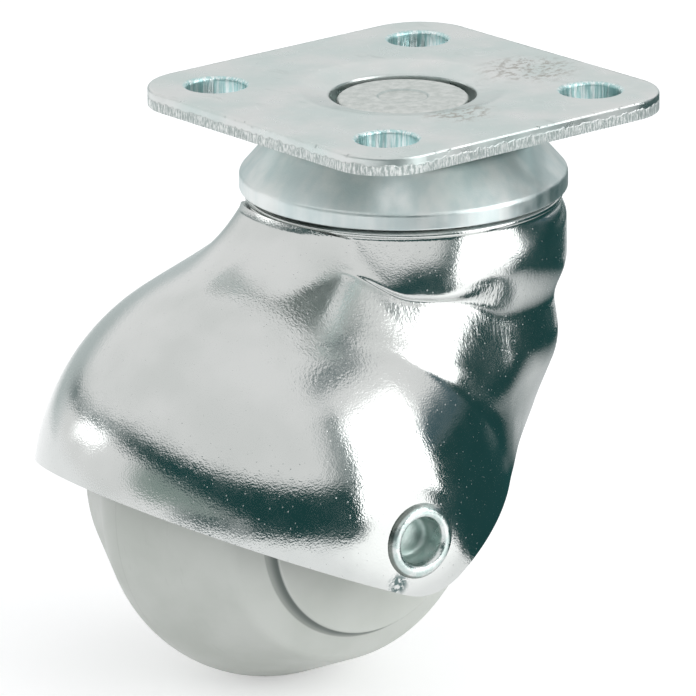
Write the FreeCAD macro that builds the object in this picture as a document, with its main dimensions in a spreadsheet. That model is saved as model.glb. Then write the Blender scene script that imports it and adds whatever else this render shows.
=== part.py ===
"""Hooded furniture caster: square plate, ball-bearing swivel, deep-drawn hood and a round moulded wheel.

Millimetres. The origin is the middle of the plate's top face and +Z points up out of the swivel.
The wheel trails towards -X and its axle lies along Y, both turned by the swivel's rest angle.
"""
import FreeCAD, Part
import math
import os
import re
import Sketcher

SIZES = {
    # Mounting plate
    "plate_side": 42.0,
    "plate_thick": 2.0,
    "plate_corner": 6.4,
    "plate_edge_round": 0.35,
    "hole_pitch": 28.0,
    "hole_diameter": 6.4,
    "hole_edge_round": 0.5,
    "slope_width": 3.35,
    "slope_drop": 0.7,
    "head_gap": 0.75,
    "well_depth": 2.7,
    "well_corner": 0.6,
    # Kingpin
    "shank_radius": 4.0,
    "shank_fit": 0.05,
    "head_radius": 7.0,
    "head_below_plate": 0.95,
    "head_edge_round": 0.5,
    "head_ring_radius": 2.7,
    "head_ring_depth": 0.15,
    "pillar_step": 0.9,
    "foot_step": 2.2,
    "foot_thick": 1.5,
    # Swivel bearing
    "race_sheet": 1.2,
    "dish_flare": 3.75,
    "dish_angle": 41.2,
    "dish_rim_radius": 17.4,
    "dish_skirt": 1.72,
    "dish_bend": 1.2,
    "dish_rim_bend": 0.7,
    "dish_edge_round": 0.2,
    "ball_diameter": 4.0,
    "ball_spacing": 0.6,
    "race_gap": 0.15,
    "groove_depth": 0.35,
    "cup_ball_gap": 0.45,
    "cup_radius": 12.4,
    "cup_wall_gap": 1.2,
    # Hood
    "rest_yaw": 4.5,
    "trail": 16.15,
    "pin_gap": 1.92,
    "hood_sheet": 1.2,
    "wheel_gap": 3.0,
    "dome_back": 1.15,
    "dome_drop": 0.45,
    "crown_inset": 2.96,
    "crown_hole_gap": 0.6,
    "collar_gap": 0.4,
    "collar_inset": 0.41,
    "collar_thick": 0.75,
    "notch_inset": 0.86,
    "neck_inset": 0.14,
    "neck_flare": 2.2,
    "crease_below_dome": 4.0,
    "crease_tilt": 7.6,
    "crease_round": 0.9,
    "shoulder_inset": 0.55,
    "shoulder_drop": 7.5,
    "shoulder_flare": 8.5,
    "shoulder_taper": 22.1,
    "shoulder_round": 8.0,
    "shoulder_reach": 12.0,
    "shoulder_lap": 2.0,
    "blend_round": 2.0,
    "ear_flat": 0.65,
    "rim_tail_drop": 5.85,
    "rim_tail_tilt": 23.2,
    "rim_front_drop": 7.4,
    "rim_front_tilt": 30.0,
    "ear_round": 9.0,
    # Axle
    "rivet_radius": 3.1,
    "rivet_wall": 0.65,
    "rivet_fit": 0.05,
    "flange_reach": 0.9,
    "flange_thick": 0.75,
    "recess_depth": 2.9,
    "recess_corner": 0.8,
    "sleeve_wall": 1.05,
    "sleeve_end_gap": 0.05,
    # Wheel
    "wheel_radius": 21.15,
    "wheel_crown_radius": 9.3,
    "wheel_flank_angle": 24.0,
    "wheel_shoulder_drop": 1.8,
    "wheel_shoulder_round": 2.2,
    "boss_base_radius": 12.9,
    "boss_base_width": 15.2,
    "boss_draft": 0.8,
    "boss_height": 1.4,
    "boss_edge_round": 0.3,
    "hub_wall": 1.33,
    "hub_end_gap": 0.35,
    "bore_fit": 0.07,
}

# Heights and radii that follow from the sizes above
WELL_RADIUS = "(head_radius + head_gap)"
SLOPE_RADIUS = f"({WELL_RADIUS} + slope_width)"
WELL_UNDER = "-(well_depth + plate_thick)"
SHANK_HOLE = "(shank_radius + shank_fit)"
PILLAR_RADIUS = "(shank_radius + pillar_step)"
FOOT_RADIUS = "(shank_radius + foot_step)"
RACE_RADIUS = "(ball_diameter / 2 + race_gap)"
DISH_TOP_RADIUS = "(dish_rim_radius - dish_flare)"
DISH_UNDER = f"({WELL_UNDER} - race_sheet)"
DISH_CONE_END = f"({WELL_UNDER} - dish_flare / tan(dish_angle))"
DISH_RIM = f"({DISH_CONE_END} - dish_skirt)"
DISH_INNER_TOP = f"({DISH_TOP_RADIUS} + race_sheet * (tan(dish_angle) - 1 / cos(dish_angle)))"
DISH_SKIRT_INNER = "(dish_rim_radius - race_sheet)"
DISH_INNER_END = f"({DISH_UNDER} - ({DISH_SKIRT_INNER} - {DISH_INNER_TOP}) / tan(dish_angle))"
UPPER_BALL_Z = f"({DISH_UNDER} - {RACE_RADIUS})"
UPPER_PITCH = (f"({DISH_TOP_RADIUS} + (race_sheet + {RACE_RADIUS})"
               " * (tan(dish_angle) - 1 / cos(dish_angle)))")
CROWN_TOP = f"({UPPER_BALL_Z} - {RACE_RADIUS} + groove_depth)"
CROWN_UNDER = f"({CROWN_TOP} - hood_sheet)"
CROWN_HOLE = f"({PILLAR_RADIUS} + crown_hole_gap)"
LOWER_BALL_Z = f"({CROWN_UNDER} + groove_depth - {RACE_RADIUS})"
LOWER_PITCH = f"(cup_radius - race_sheet - {RACE_RADIUS} - cup_ball_gap)"
CUP_TOP = f"({LOWER_BALL_Z} - {RACE_RADIUS} + groove_depth)"
CUP_UNDER = f"({CUP_TOP} - race_sheet)"
CUP_WALL_TOP = f"({CROWN_UNDER} - cup_wall_gap)"
NECK_RADIUS = "(dish_rim_radius - neck_inset)"
CROWN_RADIUS = f"({NECK_RADIUS} - crown_inset)"
COLLAR_RADIUS = f"({NECK_RADIUS} - collar_inset)"
NOTCH_RADIUS = f"({NECK_RADIUS} - notch_inset)"
SHOULDER_RADIUS = f"({NECK_RADIUS} - shoulder_inset)"
COLLAR_TOP = f"({DISH_RIM} - collar_gap)"
COLLAR_UNDER = f"({COLLAR_TOP} - collar_thick)"
AXLE_DEPTH = f"(foot_thick - {CUP_UNDER} + wheel_radius + pin_gap)"
DOME_RADIUS = "(wheel_radius + wheel_gap + hood_sheet)"
DOME_X = "-(trail + dome_back)"
DOME_Z = f"-({AXLE_DEPTH} + dome_drop)"
CREASE_DEPTH = f"({AXLE_DEPTH} + dome_drop - {DOME_RADIUS} + crease_below_dome)"
SHOULDER_DEPTH = f"({CREASE_DEPTH} + shoulder_drop)"
EAR_OUTER = f"({DOME_RADIUS} - ear_flat)"
EAR_INNER = f"({EAR_OUTER} - hood_sheet)"
RIVET_HOLE = "(rivet_radius + rivet_fit)"
RIVET_BORE = "(rivet_radius - rivet_wall)"
FLANGE_RADIUS = "(rivet_radius + flange_reach)"
SLEEVE_RADIUS = f"({RIVET_HOLE} + sleeve_wall)"
SLEEVE_HALF = f"({EAR_INNER} - sleeve_end_gap)"
BORE_RADIUS = f"({SLEEVE_RADIUS} + bore_fit)"
HUB_RADIUS = f"({BORE_RADIUS} + hub_wall)"
HUB_HALF = f"({EAR_INNER} - hub_end_gap)"
BOSS_FACE_RADIUS = "(boss_base_radius - boss_draft)"
BOSS_FACE_WIDTH = "(boss_base_width + boss_height)"
WHEEL_SHOULDER_WIDTH = "(boss_base_width - wheel_shoulder_drop)"
WHEEL_APEX = "(wheel_radius + wheel_crown_radius * (1 / cos(wheel_flank_angle) - 1))"
WHEEL_SHOULDER = f"({WHEEL_APEX} - {WHEEL_SHOULDER_WIDTH} * tan(wheel_flank_angle))"

doc = FreeCAD.newDocument("furniture_caster")
sheet = doc.addObject("Spreadsheet::Sheet", "Sizes")
for row, (alias, length) in enumerate(SIZES.items(), start=1):
    sheet.set(f"A{row}", alias)
    sheet.set(f"B{row}", str(length))
    sheet.setAlias(f"B{row}", alias)
doc.recompute()

UP = FreeCAD.Vector(0, 0, 1)
DOWN = FreeCAD.Vector(0, 0, -1)
BACK = FreeCAD.Vector(-1, 0, 0)
ALONG_AXLE = FreeCAD.Vector(0, 1, 0)


def sized(text):
    """The expression with each size's name pointing at its cell."""
    return re.sub(r"[A-Za-z_]+", lambda word: "Sizes." + word[0] if word[0] in SIZES else word[0], text)


def number(text):
    """The present value of an expression."""
    return float(sheet.evalExpression(sized(text)))


def bind(item, **expressions):
    """Ties properties to sizes; a double underscore in a name stands for a dot."""
    for name, text in expressions.items():
        item.setExpression(name.replace("__", "."), sized(text))


def turn(item, axis, angle):
    """Turns an object about an axis through its own origin by an angle taken from the sizes."""
    item.Placement = FreeCAD.Placement(item.Placement.Base, FreeCAD.Rotation(axis, 1))
    bind(item, Placement__Rotation__Angle=angle)


def primitive(kind, name, **expressions):
    """A basic solid or curve with its sizes bound."""
    item = doc.addObject("Part::" + kind, name)
    bind(item, **expressions)
    return item


def combine(kind, name, base, tool):
    """A boolean of two objects."""
    item = doc.addObject("Part::" + kind, name)
    item.Base = base
    item.Tool = tool
    return item


def fuse(name, shapes):
    """Several objects joined as one solid."""
    item = doc.addObject("Part::MultiFuse", name)
    item.Shapes = shapes
    return item


def new_body(label):
    body = doc.addObject("PartDesign::Body", label)
    body.Label = label
    return body


def new_sketch(body, plane):
    sketch = body.newObject("Sketcher::SketchObject", body.Name + "_sketch")
    support = [item for item in body.Origin.OriginFeatures if item.Role == plane][0]
    sketch.AttachmentSupport = [(support, "")]
    sketch.MapMode = "FlatFace"
    return sketch


def place_point(sketch, line, end, across, upward):
    """Ties one point of a sketch's line, arc or circle to two expressions, measured from its origin."""
    for kind, text in (("DistanceX", across), ("DistanceY", upward)):
        index = sketch.addConstraint(Sketcher.Constraint(kind, -1, 1, line, end, number(text)))
        sketch.setExpression(f"Constraints[{index}]", sized(text))


def outward_arc(upper, lower, radius):
    """An arc from the lower to the upper spot that bulges away from the sketch's upright axis."""
    chord = upper - lower
    middle = (upper + lower) / 2
    inward = FreeCAD.Vector(-chord.y, chord.x, 0).normalize()
    centre = middle + inward * math.sqrt(radius**2 - (chord.Length / 2)**2)
    angles = [math.atan2(spot.y - centre.y, spot.x - centre.x) for spot in (lower, upper)]
    return Part.ArcOfCircle(Part.Circle(centre, UP, radius), *angles)


def draw_outline(sketch, corners):
    """A closed outline through corners given as pairs of expressions.

    A third expression on a corner is the radius of an outward arc from it down to the next corner.
    """
    spots = [FreeCAD.Vector(number(corner[0]), number(corner[1]), 0) for corner in corners]
    runs = []
    for corner, spot, following in zip(corners, spots, spots[1:] + spots[:1]):
        if len(corner) > 2:
            run = sketch.addGeometry(outward_arc(spot, following, number(corner[2])))
            index = sketch.addConstraint(Sketcher.Constraint("Radius", run, number(corner[2])))
            sketch.setExpression(f"Constraints[{index}]", sized(corner[2]))
            runs.append((run, 2, 1))
        else:
            runs.append((sketch.addGeometry(Part.LineSegment(spot, following)), 1, 2))
    for (run, _, last), (following, first, _) in zip(runs, runs[1:] + runs[:1]):
        sketch.addConstraint(Sketcher.Constraint("Coincident", run, last, following, first))
    for (run, first, _), corner in zip(runs, corners):
        place_point(sketch, run, first, corner[0], corner[1])


def draw_circle(sketch, across, upward, radius):
    """A circle whose middle and radius are expressions."""
    middle = FreeCAD.Vector(number(across), number(upward), 0)
    circle = sketch.addGeometry(Part.Circle(middle, UP, number(radius)))
    place_point(sketch, circle, 3, across, upward)
    index = sketch.addConstraint(Sketcher.Constraint("Radius", circle, number(radius)))
    sketch.setExpression(f"Constraints[{index}]", sized(radius))


def revolve(body, corners, kind="Revolution", plane="XZ_Plane", axle_line=None):
    """Turns an outline about the sketch's upright axis, or about a line beside it."""
    sketch = new_sketch(body, plane)
    draw_outline(sketch, corners)
    axis = "V_Axis"
    if axle_line:
        low = FreeCAD.Vector(number(axle_line), 0, 0)
        line = sketch.addGeometry(Part.LineSegment(low, low + FreeCAD.Vector(0, 1, 0)), True)
        place_point(sketch, line, 1, axle_line, "0")
        place_point(sketch, line, 2, axle_line, "1")
        axis = "Axis0"
    feature = body.newObject("PartDesign::" + kind, body.Name + "_" + kind.lower())
    feature.Profile = sketch
    feature.ReferenceAxis = (sketch, [axis])
    feature.Angle = 360
    doc.recompute()
    return feature


def round_edges(body, wanted, radius):
    """Rounds the edges of the body's last feature that pass a test."""
    tip = body.Tip
    names = [f"Edge{place}" for place, edge in enumerate(tip.Shape.Edges, start=1) if wanted(edge)]
    if not names:
        raise RuntimeError(f"no edge to round on {body.Label}")
    fillet = body.newObject("PartDesign::Fillet", body.Name + "_fillet")
    fillet.Base = (tip, names)
    bind(fillet, Radius=radius)
    doc.recompute()
    return fillet


def ring_edge(radius, height, axis=2, centre=(0.0, 0.0, 0.0), slack=0.02):
    """A test for circles of one radius at one height along an axis."""
    wanted_radius = number(radius)
    wanted_height = number(height)

    def test(edge):
        curve = edge.Curve
        if not isinstance(curve, Part.Circle):
            return False
        right_height = abs(curve.Center[axis] - centre[axis] - wanted_height) < slack
        return right_height and abs(curve.Radius - wanted_radius) < slack

    return test


def make_mounting_plate():
    """Sheared square plate, its middle pressed down into a well for the kingpin's head."""
    body = new_body("mounting_plate")
    half = "plate_side / 2"
    sketch = new_sketch(body, "XY_Plane")
    draw_outline(sketch, [(f"-{half}", f"-{half}"), (half, f"-{half}"), (half, half), (f"-{half}", half)])
    blank = body.newObject("PartDesign::Pad", "plate_blank")
    blank.Profile = sketch
    blank.Reversed = True
    bind(blank, Length="plate_thick")
    doc.recompute()
    round_edges(body, lambda edge: edge.BoundBox.ZLength > 0.5 * number("plate_thick"), "plate_corner")

    wall = f"({WELL_RADIUS} + plate_thick)"
    revolve(body, [
        ("0", "-plate_thick / 2"),
        (f"{SLOPE_RADIUS} + plate_thick", "-plate_thick / 2"),
        (f"{SLOPE_RADIUS} + plate_thick", "-plate_thick"),
        (wall, "-(plate_thick + slope_drop)"),
        (wall, f"{WELL_UNDER} + well_corner"),
        (f"{wall} - well_corner", WELL_UNDER),
        ("0", WELL_UNDER),
    ])
    revolve(body, [
        ("0", "0"),
        (SLOPE_RADIUS, "0"),
        (WELL_RADIUS, "-slope_drop"),
        (WELL_RADIUS, "-well_depth"),
        (SHANK_HOLE, "-well_depth"),
        (SHANK_HOLE, f"{WELL_UNDER} - plate_thick"),
        ("0", f"{WELL_UNDER} - plate_thick"),
    ], kind="Groove")

    holes = new_sketch(body, "XY_Plane")
    for across in ("hole_pitch / 2", "-hole_pitch / 2"):
        for upward in ("hole_pitch / 2", "-hole_pitch / 2"):
            draw_circle(holes, across, upward, "hole_diameter / 2")
    drill = body.newObject("PartDesign::Pocket", "plate_holes")
    drill.Profile = holes
    drill.Type = "ThroughAll"
    drill.Midplane = True
    doc.recompute()
    round_edges(body, ring_edge("hole_diameter / 2", "0"), "hole_edge_round")
    round_edges(body, ring_edge(SLOPE_RADIUS, "0"), f"{SLOPE_RADIUS} / 4")
    round_edges(body, ring_edge(WELL_RADIUS, "-slope_drop"), "slope_drop / 2")

    def outer_top(edge):
        box = edge.BoundBox
        flat = box.ZLength < 1e-6 and abs(box.ZMax) < 1e-6
        reach = max(abs(box.XMin), abs(box.XMax), abs(box.YMin), abs(box.YMax))
        return flat and reach > number("plate_side / 2 - plate_corner / 2")

    round_edges(body, outer_top, "plate_edge_round")
    return body


def make_kingpin():
    """Stepped swivel rivet: head in the plate's well, pillar through the bearing, peened foot."""
    body = new_body("kingpin")
    head_top = "-head_below_plate"
    revolve(body, [
        ("0", f"{head_top} - head_ring_depth"),
        ("head_ring_radius - head_ring_depth", f"{head_top} - head_ring_depth"),
        ("head_ring_radius", head_top),
        ("head_radius", head_top),
        ("head_radius", "-well_depth"),
        ("shank_radius", "-well_depth"),
        ("shank_radius", DISH_UNDER),
        (PILLAR_RADIUS, DISH_UNDER),
        (PILLAR_RADIUS, CUP_TOP),
        ("shank_radius", CUP_TOP),
        ("shank_radius", CUP_UNDER),
        (FOOT_RADIUS, CUP_UNDER),
        (f"{FOOT_RADIUS} - foot_thick / 3", f"{CUP_UNDER} - foot_thick"),
        ("0", f"{CUP_UNDER} - foot_thick"),
    ])
    round_edges(body, ring_edge("head_radius", head_top), "head_edge_round")
    return body


def make_swivel_dish():
    """Flared pressed dish: flat top under the plate, cone that the upper balls run in, turned-down rim."""
    body = new_body("swivel_dish")
    revolve(body, [
        (SHANK_HOLE, WELL_UNDER),
        (DISH_TOP_RADIUS, WELL_UNDER),
        ("dish_rim_radius", DISH_CONE_END),
        ("dish_rim_radius", DISH_RIM),
        (DISH_SKIRT_INNER, DISH_RIM),
        (DISH_SKIRT_INNER, DISH_INNER_END),
        (DISH_INNER_TOP, DISH_UNDER),
        (SHANK_HOLE, DISH_UNDER),
    ])
    round_edges(body, ring_edge("dish_rim_radius", DISH_CONE_END), "dish_rim_bend")
    round_edges(body, ring_edge(DISH_TOP_RADIUS, WELL_UNDER), "dish_bend + race_sheet")
    round_edges(body, ring_edge(DISH_SKIRT_INNER, DISH_INNER_END), "dish_rim_bend / 2")
    round_edges(body, ring_edge("dish_rim_radius", DISH_RIM), "dish_edge_round")
    return body


def make_lower_race_cup():
    """Pressed cup on the kingpin's foot, with an upturned wall that keeps the lower balls in."""
    body = new_body("lower_race_cup_blank")
    revolve(body, [
        (SHANK_HOLE, CUP_TOP),
        ("cup_radius - race_sheet", CUP_TOP),
        ("cup_radius - race_sheet", CUP_WALL_TOP),
        ("cup_radius", CUP_WALL_TOP),
        ("cup_radius", CUP_UNDER),
        (SHANK_HOLE, CUP_UNDER),
    ])
    round_edges(body, ring_edge("cup_radius", CUP_UNDER), "race_sheet")
    groove = primitive("Torus", "cup_groove", Radius1=LOWER_PITCH, Radius2=RACE_RADIUS,
                       Placement__Base__z=LOWER_BALL_Z)
    cup = combine("Cut", "lower_race_cup", body, groove)
    cup.Label = "lower_race_cup"
    return cup


def make_balls(label, pitch, height):
    """A full ring of loose balls at one pitch radius and height."""
    count = math.floor(2 * math.pi * number(pitch) / number("ball_diameter + ball_spacing"))
    balls = []
    for place in range(count):
        angle = 360.0 * place / count
        ball = primitive("Sphere", f"{label}_{place}", Radius="ball_diameter / 2",
                         Placement__Base__x=f"{pitch} * cos({angle})",
                         Placement__Base__y=f"{pitch} * sin({angle})",
                         Placement__Base__z=height)
        balls.append(ball)
    group = doc.addObject("Part::Compound", label)
    group.Links = balls
    group.Label = label
    return group


def make_dome(name, inset):
    """Sphere over the wheel, flattened at both ears where the axle passes."""
    radius = f"{DOME_RADIUS} - {inset}"
    ball = primitive("Sphere", name + "_ball", Radius=radius,
                     Placement__Base__x=DOME_X, Placement__Base__z=DOME_Z)
    ball.Placement.Rotation = FreeCAD.Rotation(DOWN, BACK, ALONG_AXLE, "ZXY")
    side = f"4 * {DOME_RADIUS}"
    half_width = f"({EAR_OUTER} - {inset})"
    ears = primitive("Box", name + "_ears", Length=side, Height=side, Width=f"2 * {half_width}",
                     Placement__Base__x=f"{DOME_X} - {side} / 2",
                     Placement__Base__y=f"-{half_width}",
                     Placement__Base__z=f"{DOME_Z} - {side} / 2")
    return combine("Common", name, ball, ears)


def make_neck(name, inset, collar):
    """Turned neck under the dish, cut off below by the tilted crease."""
    body = new_body(name + "_turned")
    top = f"{CROWN_TOP} - {inset}"
    corners = [
        ("0", top),
        (f"{CROWN_RADIUS} - {inset} / 2", top),
    ]
    if collar:
        corners += [
            (NOTCH_RADIUS, COLLAR_TOP),
            (COLLAR_RADIUS, f"{COLLAR_TOP} - collar_thick / 3"),
            (COLLAR_RADIUS, f"{COLLAR_TOP} - 2 * collar_thick / 3"),
        ]
    corners += [
        (f"{NOTCH_RADIUS} - {inset}", f"{COLLAR_UNDER} - {inset} / 2"),
        (f"{NECK_RADIUS} - {inset}", f"{COLLAR_UNDER} - neck_flare"),
        (f"{NECK_RADIUS} - {inset}", f"-({CREASE_DEPTH} + {NECK_RADIUS})"),
        ("0", f"-({CREASE_DEPTH} + {NECK_RADIUS})"),
    ]
    revolve(body, corners)
    half = f"(2 * {NECK_RADIUS})"
    side = f"(2 * {half})"
    below = primitive("Box", name + "_below", Length=side, Width=side, Height=side)
    turn(below, ALONG_AXLE, "crease_tilt")
    drop = f"({CREASE_DEPTH} - {inset})"
    bind(below, Placement__Base__x=f"-{half} * cos(crease_tilt) - {side} * sin(crease_tilt)",
         Placement__Base__y=f"-{half}",
         Placement__Base__z=f"-{drop} + {half} * sin(crease_tilt) - {side} * cos(crease_tilt)")
    return combine("Cut", name, body, below)


def make_shoulder(name, inset):
    """Barrel-shaped shoulder below the crease that leads the neck into the dome."""
    body = new_body(name)
    top = f"({CROWN_TOP} - shoulder_lap - {inset})"
    crest = f"({SHOULDER_RADIUS} - {inset})"
    turn_length = f"((shoulder_round - {inset}) * tan((shoulder_flare + shoulder_taper) / 2))"
    reach = f"(shoulder_reach + {inset})"
    foot = f"-({SHOULDER_DEPTH} + {reach})"
    revolve(body, [
        ("0", top),
        (f"{crest} - ({SHOULDER_DEPTH} + {top}) * tan(shoulder_flare)", top),
        (f"{crest} - {turn_length} * sin(shoulder_flare)",
         f"-{SHOULDER_DEPTH} + {turn_length} * cos(shoulder_flare)", f"shoulder_round - {inset}"),
        (f"{crest} - {turn_length} * sin(shoulder_taper)",
         f"-{SHOULDER_DEPTH} - {turn_length} * cos(shoulder_taper)"),
        (f"{crest} - {reach} * tan(shoulder_taper)", foot),
        ("0", foot),
    ])
    return body


def round_meeting(name, base, first, second, radius):
    """Rounds the edges where a face that passes one test meets a face that passes another."""
    chosen = []
    for place, edge in enumerate(base.Shape.Edges, start=1):
        faces = [face for face in base.Shape.Faces if any(edge.isSame(side) for side in face.Edges)]
        if any(first(face) for face in faces) and any(second(face) for face in faces):
            chosen.append((place, number(radius), number(radius)))
    if not chosen:
        raise RuntimeError(f"no edge to round on {base.Label}")
    fillet = doc.addObject("Part::Fillet", name)
    fillet.Base = base
    fillet.Edges = chosen
    doc.recompute()
    return fillet


def make_rim_wedge():
    """Room above the hood's lower edge: a shallow V that rises to the tail and to the front from the ears."""
    body = new_body("rim_wedge")
    sketch = new_sketch(body, "XZ_Plane")
    slopes = "(sin(rim_tail_tilt) * cos(rim_front_tilt) + cos(rim_tail_tilt) * sin(rim_front_tilt))"
    corner_x = f"((rim_front_drop * cos(rim_tail_tilt) - rim_tail_drop * cos(rim_front_tilt)) / {slopes})"
    corner_z = f"(-(rim_front_drop * sin(rim_tail_tilt) + rim_tail_drop * sin(rim_front_tilt)) / {slopes})"
    reach = f"(4 * {DOME_RADIUS})"
    draw_outline(sketch, [
        (f"{corner_x} - trail", f"{corner_z} - {AXLE_DEPTH}"),
        (f"{corner_x} - trail + {reach} * cos(rim_front_tilt)",
         f"{corner_z} - {AXLE_DEPTH} + {reach} * sin(rim_front_tilt)"),
        ("-trail", f"{reach} + {AXLE_DEPTH}"),
        (f"{corner_x} - trail - {reach} * cos(rim_tail_tilt)",
         f"{corner_z} - {AXLE_DEPTH} + {reach} * sin(rim_tail_tilt)"),
    ])
    pad = body.newObject("PartDesign::Pad", "rim_wedge_pad")
    pad.Profile = sketch
    pad.Midplane = True
    bind(pad, Length=reach)
    doc.recompute()
    low = min(vertex.Z for vertex in pad.Shape.Vertexes)
    round_edges(body, lambda edge: abs(edge.BoundBox.ZMin - low) < 1e-3 and edge.BoundBox.ZLength < 1e-3,
                "ear_round")
    return body


def is_cylinder(face, radius):
    """Whether a face is round, straight and of that radius."""
    return isinstance(face.Surface, Part.Cylinder) and abs(face.Surface.Radius - number(radius)) < 1e-4


def make_hood_form(side, inset, collar):
    """One side of the hood's sheet as a full form: dome, shoulder blended into it, and neck."""
    dome = make_dome(f"dome_{side}", inset)
    shoulder = make_shoulder(f"shoulder_{side}", inset)
    drawn = fuse(f"drawn_{side}", [dome, shoulder])
    doc.recompute()
    blended = round_meeting(f"blended_{side}", drawn,
                            lambda face: isinstance(face.Surface, Part.Sphere),
                            lambda face: isinstance(face.Surface, (Part.Cone, Part.Toroid)),
                            f"blend_round + {inset}")
    return fuse(f"hood_{side}", [blended, make_neck(f"neck_{side}", inset, collar)])


def make_hood():
    """Deep-drawn shell: outer form less inner form, trimmed at the rim and pierced for axle and kingpin."""
    outer = make_hood_form("outer", "0", True)
    inner = make_hood_form("inner", "hood_sheet", False)
    shell = combine("Cut", "hood_shell", outer, inner)
    trimmed = combine("Common", "hood_trimmed", shell, make_rim_wedge())

    axle_hole = primitive("Cylinder", "axle_hole", Radius=RIVET_HOLE, Height=f"4 * {EAR_OUTER}",
                          Placement__Base__x="-trail", Placement__Base__y=f"2 * {EAR_OUTER}",
                          Placement__Base__z=f"-{AXLE_DEPTH}")
    axle_hole.Placement.Rotation = FreeCAD.Rotation(FreeCAD.Vector(1, 0, 0), 90)
    crown_hole = primitive("Cylinder", "crown_hole", Radius=CROWN_HOLE, Height="6 * hood_sheet",
                           Placement__Base__z=f"{CROWN_UNDER} - 2 * hood_sheet")
    upper_groove = primitive("Torus", "upper_groove", Radius1=UPPER_PITCH, Radius2=RACE_RADIUS,
                             Placement__Base__z=UPPER_BALL_Z)
    lower_groove = primitive("Torus", "lower_groove", Radius1=LOWER_PITCH, Radius2=RACE_RADIUS,
                             Placement__Base__z=LOWER_BALL_Z)
    cutters = fuse("hood_cutters", [axle_hole, crown_hole, upper_groove, lower_groove])
    pierced = combine("Cut", "hood_pierced", trimmed, cutters)
    doc.recompute()
    hood = round_meeting("hood", pierced,
                         lambda face: isinstance(face.Surface, Part.Plane),
                         lambda face: is_cylinder(face, NECK_RADIUS),
                         "crease_round")
    hood.Label = "hood"
    turn(hood, DOWN, "rest_yaw")
    return hood


def make_axle_rivet():
    """Semi-tubular rivet through both ears: solid shank, hollow ends rolled outwards into flanges."""
    body = new_body("axle_rivet")
    middle = "-trail"

    def out(radius):
        return f"{middle} + {radius}"

    face = f"({EAR_OUTER} + flange_thick)"
    floor = f"({face} - recess_depth)"
    revolve(body, [
        (middle, f"-{floor}"),
        (out(f"{RIVET_BORE} - recess_corner"), f"-{floor}"),
        (out(RIVET_BORE), f"-({floor} + recess_corner)"),
        (out(RIVET_BORE), f"-{EAR_OUTER}"),
        (out(f"{RIVET_BORE} + flange_thick / 2"), f"-{face}"),
        (out(f"{FLANGE_RADIUS} - flange_thick / 3"), f"-{face}"),
        (out(FLANGE_RADIUS), f"-{face} + flange_thick / 2"),
        (out(FLANGE_RADIUS), f"-{EAR_OUTER}"),
        (out("rivet_radius"), f"-{EAR_OUTER}"),
        (out("rivet_radius"), EAR_OUTER),
        (out(FLANGE_RADIUS), EAR_OUTER),
        (out(FLANGE_RADIUS), f"{face} - flange_thick / 2"),
        (out(f"{FLANGE_RADIUS} - flange_thick / 3"), face),
        (out(f"{RIVET_BORE} + flange_thick / 2"), face),
        (out(RIVET_BORE), EAR_OUTER),
        (out(RIVET_BORE), f"{floor} + recess_corner"),
        (out(f"{RIVET_BORE} - recess_corner"), floor),
        (middle, floor),
    ], plane="XY_Plane", axle_line=middle)
    seat_on_axle(body)
    return body


def make_axle_sleeve():
    """Tube between the ears that the rivet clamps and the wheel turns on."""
    body = new_body("axle_sleeve")
    revolve(body, [
        (f"-trail + {RIVET_HOLE}", f"-{SLEEVE_HALF}"),
        (f"-trail + {SLEEVE_RADIUS}", f"-{SLEEVE_HALF}"),
        (f"-trail + {SLEEVE_RADIUS}", SLEEVE_HALF),
        (f"-trail + {RIVET_HOLE}", SLEEVE_HALF),
    ], plane="XY_Plane", axle_line="-trail")
    seat_on_axle(body)
    return body


def make_wheel():
    """Moulded wheel: crowned tread, conical flanks, a raised boss each side and a plain hub."""
    body = new_body("wheel")
    right_half = [
        (WHEEL_APEX, "0"),
        (WHEEL_SHOULDER, WHEEL_SHOULDER_WIDTH),
        ("boss_base_radius", "boss_base_width"),
        (BOSS_FACE_RADIUS, BOSS_FACE_WIDTH),
        (HUB_RADIUS, BOSS_FACE_WIDTH),
        (HUB_RADIUS, HUB_HALF),
        (BORE_RADIUS, HUB_HALF),
    ]
    left_half = [(radius, f"-{width}") for radius, width in reversed(right_half[1:])]
    corners = [(f"-trail + {radius}", width) for radius, width in right_half + left_half]
    revolve(body, corners, plane="XY_Plane", axle_line="-trail")
    seat_on_axle(body)

    def both_sides(radius, width):
        near = ring_edge(radius, width, axis=1)
        far = ring_edge(radius, f"-{width}", axis=1)
        return lambda edge: near(edge) or far(edge)

    round_edges(body, ring_edge(WHEEL_APEX, "0", axis=1), "wheel_crown_radius")
    round_edges(body, both_sides(WHEEL_SHOULDER, WHEEL_SHOULDER_WIDTH), "wheel_shoulder_round")
    round_edges(body, both_sides(BOSS_FACE_RADIUS, BOSS_FACE_WIDTH), "boss_edge_round")
    return body


def seat_on_axle(body):
    """Lowers a body drawn at axle height and turns it with the swivel."""
    turn(body, DOWN, "rest_yaw")
    bind(body, Placement__Base__z=f"-{AXLE_DEPTH}")


pieces = [
    make_mounting_plate(),
    make_kingpin(),
    make_swivel_dish(),
    make_lower_race_cup(),
    make_balls("upper_balls", UPPER_PITCH, UPPER_BALL_Z),
    make_balls("lower_balls", LOWER_PITCH, LOWER_BALL_Z),
    make_hood(),
    make_axle_rivet(),
    make_axle_sleeve(),
    make_wheel(),
]
doc.recompute()

for item in doc.Objects:
    if "Invalid" in item.State or "Error" in item.State:
        raise RuntimeError(f"{item.Label} failed: {item.State}")
for piece in pieces:
    if piece.Shape.isNull() or not piece.Shape.isValid():
        raise RuntimeError(f"{piece.Label} has no valid shape")

os.makedirs("parts", exist_ok=True)
for piece in pieces:
    piece.Shape.exportStep(f"parts/{piece.Label}.step")
    print(f"{piece.Label}: {len(piece.Shape.Solids)} solids, {piece.Shape.Volume:.1f} mm3")
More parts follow.
